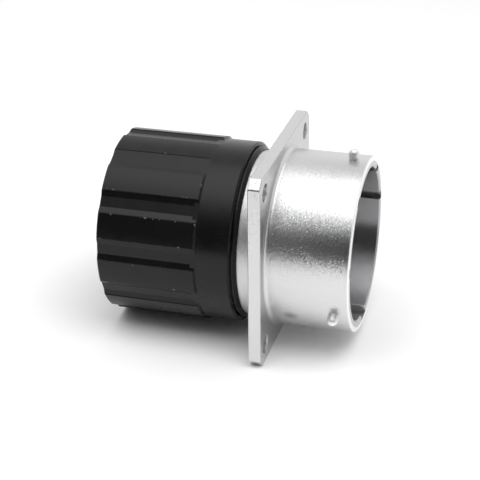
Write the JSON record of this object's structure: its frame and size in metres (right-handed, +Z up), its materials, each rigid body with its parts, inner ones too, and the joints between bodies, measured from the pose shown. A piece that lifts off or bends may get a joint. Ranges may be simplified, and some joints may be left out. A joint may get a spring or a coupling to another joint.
{
  "type": "rf coaxial connector",
  "caption": "Circular multi-way coaxial connector on a square flange, with a keyed bayonet receptacle at one end and a ribbed coupling ring over a plug spigot at the other.",
  "frame": {"origin": "centre of the flange's front face, on the connector's axis", "axes": "+X along the connector's axis towards the receptacle, +Z up, the flange's sides along Y and Z"},
  "size_m": [0.0537, 0.0428, 0.0428],
  "materials": {
    "nickel_plate": "matt nickel plate over a blasted surface",
    "black_ring": "black anodised, satin",
    "pin_steel": "bright",
    "spring_steel": "bare spring steel",
    "seal_rubber": "matt",
    "insert_plastic": "moulded",
    "contact_silver": "silver plate",
    "bead_white": "waxy fluoropolymer",
    "contact_gold": "gold plate"
  },
  "bodies": {
    "connector": {"bayonet_pin_1": "pin_steel", "bayonet_pin_2": "pin_steel", "bayonet_pin_3": "pin_steel", "bead_1": "bead_white", "bead_2": "bead_white", "bead_3": "bead_white", "bead_4": "bead_white", "centre_contact_1": "contact_gold", "centre_contact_2": "contact_gold", "centre_contact_3": "contact_gold", "centre_contact_4": "contact_gold", "face_seal": "seal_rubber", "front_insert": "insert_plastic", "front_snap_ring": "spring_steel", "rear_insert": "insert_plastic", "rear_snap_ring": "spring_steel", "sheath_1": "contact_silver", "sheath_2": "contact_silver", "sheath_3": "contact_silver", "sheath_4": "contact_silver", "shell": "nickel_plate", "spigot_gasket": "seal_rubber", "wave_spring": "spring_steel"},
    "washer": {"thrust_washer": "spring_steel"},
    "ring": {"coupling_ring": "black_ring"}
  },
  "joints": [
    {"name": "ring_float", "type": "slide", "parent": "connector", "child": "washer", "axis": [-1, 0, 0], "range_m": [0, 0.0008], "deforming": ["wave_spring"]},
    {"name": "ring_turn", "type": "hinge", "parent": "washer", "child": "ring", "pos_m": [-0.012, 0, 0], "axis": [1, 0, 0], "continuous": true}
  ]
}
